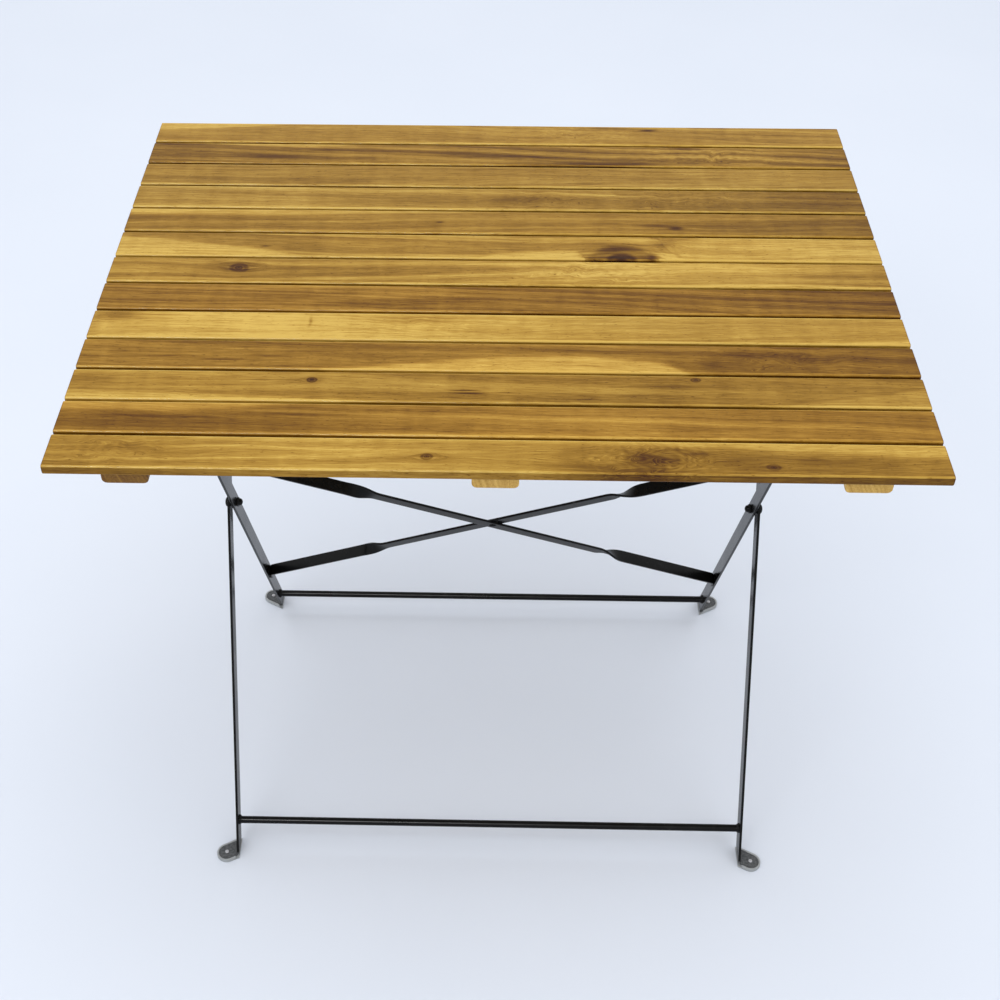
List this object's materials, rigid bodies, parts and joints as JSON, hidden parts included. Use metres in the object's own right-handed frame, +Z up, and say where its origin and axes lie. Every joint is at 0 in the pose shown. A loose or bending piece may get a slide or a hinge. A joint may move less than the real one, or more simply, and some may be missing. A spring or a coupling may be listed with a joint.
{
  "type": "folding table",
  "caption": "Slatted wooden folding table on two crossed flat-steel leg frames that fold flat under the top.",
  "frame": {"origin": "on the ground under the middle of the top", "axes": "+X along the slats to the right, -Y towards the front, +Z up"},
  "size_m": [0.8, 0.626, 0.715],
  "materials": {
    "oiled_wood": "satin varnished hardwood with strong grain",
    "pale_wood": "satin hardwood, plain underside",
    "black_steel": "satin black powder coat",
    "black_hardware": "satin black coated fasteners and brackets",
    "zinc_screw": "zinc-plated",
    "glide_plastic": "cloudy grey moulded plastic",
    "peg_plastic": "pale moulded plastic"
  },
  "bodies": {
    "tabletop": {"batten_center": "pale_wood", "batten_left": "pale_wood", "batten_right": "pale_wood", "bracket_screw_front_left": "zinc_screw", "bracket_screw_front_right": "zinc_screw", "bracket_screw_rear_left": "zinc_screw", "bracket_screw_rear_right": "zinc_screw", "hinge_bracket_left": "black_hardware", "hinge_bracket_right": "black_hardware", "hinge_pin_left": "black_hardware", "hinge_pin_right": "black_hardware", "hinge_washer_left": "black_hardware", "hinge_washer_right": "black_hardware", "hook_screw_front_left": "zinc_screw", "hook_screw_front_right": "zinc_screw", "hook_screw_rear_left": "zinc_screw", "hook_screw_rear_right": "zinc_screw", "rod_hook_left": "black_hardware", "rod_hook_right": "black_hardware", "slat_01": "oiled_wood", "slat_02": "oiled_wood", "slat_03": "oiled_wood", "slat_04": "oiled_wood", "slat_05": "oiled_wood", "slat_06": "oiled_wood", "slat_07": "oiled_wood", "slat_08": "oiled_wood", "slat_09": "oiled_wood", "slat_10": "oiled_wood", "slat_11": "oiled_wood", "slat_12": "oiled_wood", "slat_13": "oiled_wood"},
    "inner_frame": {"brace_bar_back": "black_steel", "brace_bar_front": "black_steel", "brace_rivet": "black_hardware", "glide_peg_rear_left": "peg_plastic", "glide_peg_rear_right": "peg_plastic", "glide_rear_left": "glide_plastic", "glide_rear_right": "glide_plastic", "inner_leg_left": "black_steel", "inner_leg_right": "black_steel", "rear_stretcher_rod": "black_steel"},
    "outer_frame": {"cap_nut_left": "black_hardware", "cap_nut_right": "black_hardware", "front_stretcher_rod": "black_steel", "glide_front_left": "glide_plastic", "glide_front_right": "glide_plastic", "glide_peg_front_left": "peg_plastic", "glide_peg_front_right": "peg_plastic", "outer_leg_left": "black_steel", "outer_leg_right": "black_steel", "pivot_bolt_left": "black_hardware", "pivot_bolt_right": "black_hardware", "pivot_washer_left": "black_hardware", "pivot_washer_right": "black_hardware", "top_rod": "black_steel"}
  },
  "joints": [
    {"name": "inner_leg_hinge", "type": "hinge", "parent": "tabletop", "child": "inner_frame", "pos_m": [0, -0.15965, 0.68], "axis": [1, 0, 0], "range_deg": [0, 59.5]},
    {"name": "leg_pivot", "type": "hinge", "parent": "inner_frame", "child": "outer_frame", "pos_m": [0, 0, 0.391], "axis": [1, 0, 0], "range_deg": [-119, 0]}
  ],
  "couplings": [
    {"joint": "leg_pivot", "follows": "inner_leg_hinge", "ratio": -2}
  ]
}
